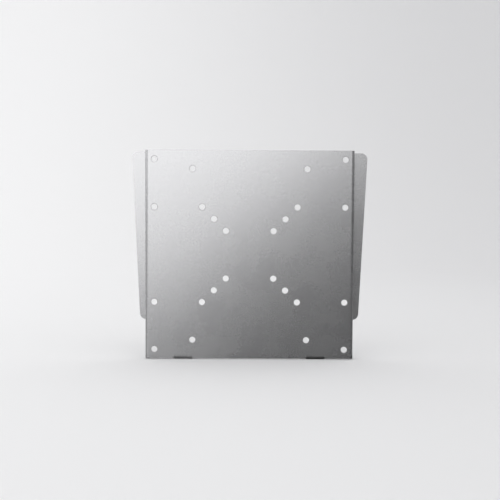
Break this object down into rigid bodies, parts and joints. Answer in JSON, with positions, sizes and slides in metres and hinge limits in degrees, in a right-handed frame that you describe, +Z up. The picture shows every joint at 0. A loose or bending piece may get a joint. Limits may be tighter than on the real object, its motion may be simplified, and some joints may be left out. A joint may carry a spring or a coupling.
{
  "type": "display wall mount",
  "caption": "Low fixed wall mount for a flat display: a folded screen plate with hole patterns hooks on the tapered ears of a folded wall frame and is locked from below.",
  "frame": {"origin": "middle of the wall slots, on the wall, level with the middle of the screen holes", "axes": "+Z up, +X to the right seen from the room, +Y into the wall"},
  "size_m": [0.2488, 0.025, 0.2196],
  "materials": {
    "silver_coat": "satin",
    "screw_steel": "blackened",
    "zinc_steel": "zinc plated"
  },
  "bodies": {
    "root": {"screen_plate": "silver_coat", "wall_frame": "silver_coat", "left_lock_screw": "screw_steel", "right_lock_screw": "screw_steel", "left_clinch_nut": "zinc_steel", "right_clinch_nut": "zinc_steel"}
  },
  "joints": []
}
